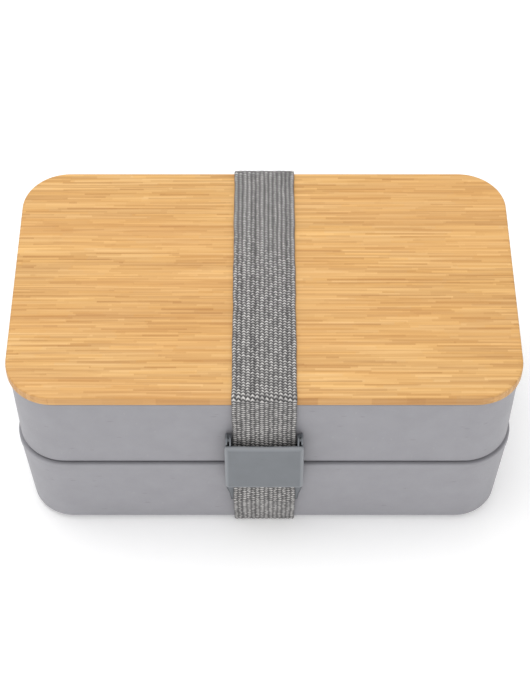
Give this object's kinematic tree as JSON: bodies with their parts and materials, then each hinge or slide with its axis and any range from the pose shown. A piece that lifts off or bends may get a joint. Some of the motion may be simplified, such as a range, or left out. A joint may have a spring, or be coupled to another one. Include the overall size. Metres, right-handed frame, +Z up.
{
  "type": "bento lunch box",
  "caption": "Two-tier bento lunch box with a bamboo lid, sealed inner lid, removable divider and an elastic strap closed by a flip-lever buckle.",
  "frame": {"origin": "middle of the strap's underside, which the box stands on", "axes": "+Z up, +X along the long side, the buckle on the -Y side"},
  "size_m": [0.185, 0.1151, 0.0833],
  "materials": {
    "bamboo": "fine lengthwise grain, clear satin seal",
    "tray_plastic": "smooth satin moulding with faint straw flecks",
    "inner_plastic": "satin, milky",
    "silicone": "matt translucent silicone",
    "webbing": "ribbed knit elastic webbing",
    "buckle_plastic": "satin moulding with softened edges"
  },
  "bodies": {
    "lower_tier": {"lower_tier": "tray_plastic"},
    "inner_lid": {"inner_lid": "inner_plastic", "inner_lid_seal": "silicone"},
    "vent_plug": {"vent_plug": "silicone"},
    "upper_tier": {"upper_tier": "tray_plastic"},
    "divider": {"divider": "inner_plastic"},
    "lid": {"bamboo_lid": "bamboo", "lid_seal": "silicone"},
    "strap_base": {"strap_bottom": "webbing", "strap_front_low": "webbing", "strap_back_low": "webbing", "strap_front_end": "webbing", "buckle_frame": "buckle_plastic"},
    "strap_mid": {"strap_front_mid": "webbing", "strap_back_mid": "webbing"},
    "strap_top": {"strap_front_rise": "webbing", "strap_back_rise": "webbing", "strap_top": "webbing"},
    "buckle_lever": {"buckle_lever": "buckle_plastic"}
  },
  "joints": [
    {"name": "upper_tier_lift", "type": "slide", "parent": "lower_tier", "child": "upper_tier", "axis": [0, 0, 1], "range_m": [0, 0.075]},
    {"name": "lid_lift", "type": "slide", "parent": "upper_tier", "child": "lid", "axis": [0, 0, 1], "range_m": [0, 0.075]},
    {"name": "inner_lid_lift", "type": "slide", "parent": "lower_tier", "child": "inner_lid", "axis": [0, 0, 1], "range_m": [0, 0.0375]},
    {"name": "vent_plug_pull", "type": "slide", "parent": "inner_lid", "child": "vent_plug", "axis": [0, 0, 1], "range_m": [0, 0.003]},
    {"name": "divider_lift", "type": "slide", "parent": "upper_tier", "child": "divider", "axis": [0, 0, 1], "range_m": [0, 0.0375]},
    {"name": "strap_slide", "type": "slide", "parent": "lower_tier", "child": "strap_base", "axis": [1, 0, 0], "range_m": [0, 0.12]},
    {"name": "strap_mid_stretch", "type": "slide", "parent": "strap_base", "child": "strap_mid", "axis": [0, 0, 1], "range_m": [0, 0.075]},
    {"name": "strap_top_stretch", "type": "slide", "parent": "strap_mid", "child": "strap_top", "axis": [0, 0, 1], "range_m": [0, 0.075]},
    {"name": "buckle_flip", "type": "hinge", "parent": "strap_base", "child": "buckle_lever", "pos_m": [0, -0.057, 0.0602], "axis": [-1, 0, 0], "range_deg": [0, 100]}
  ],
  "couplings": [
    {"joint": "inner_lid_lift", "follows": "upper_tier_lift", "ratio": 0.5},
    {"joint": "vent_plug_pull", "follows": "upper_tier_lift", "ratio": 0.04},
    {"joint": "strap_mid_stretch", "follows": "upper_tier_lift", "ratio": 1},
    {"joint": "divider_lift", "follows": "lid_lift", "ratio": 0.5},
    {"joint": "strap_top_stretch", "follows": "lid_lift", "ratio": 1}
  ]
}
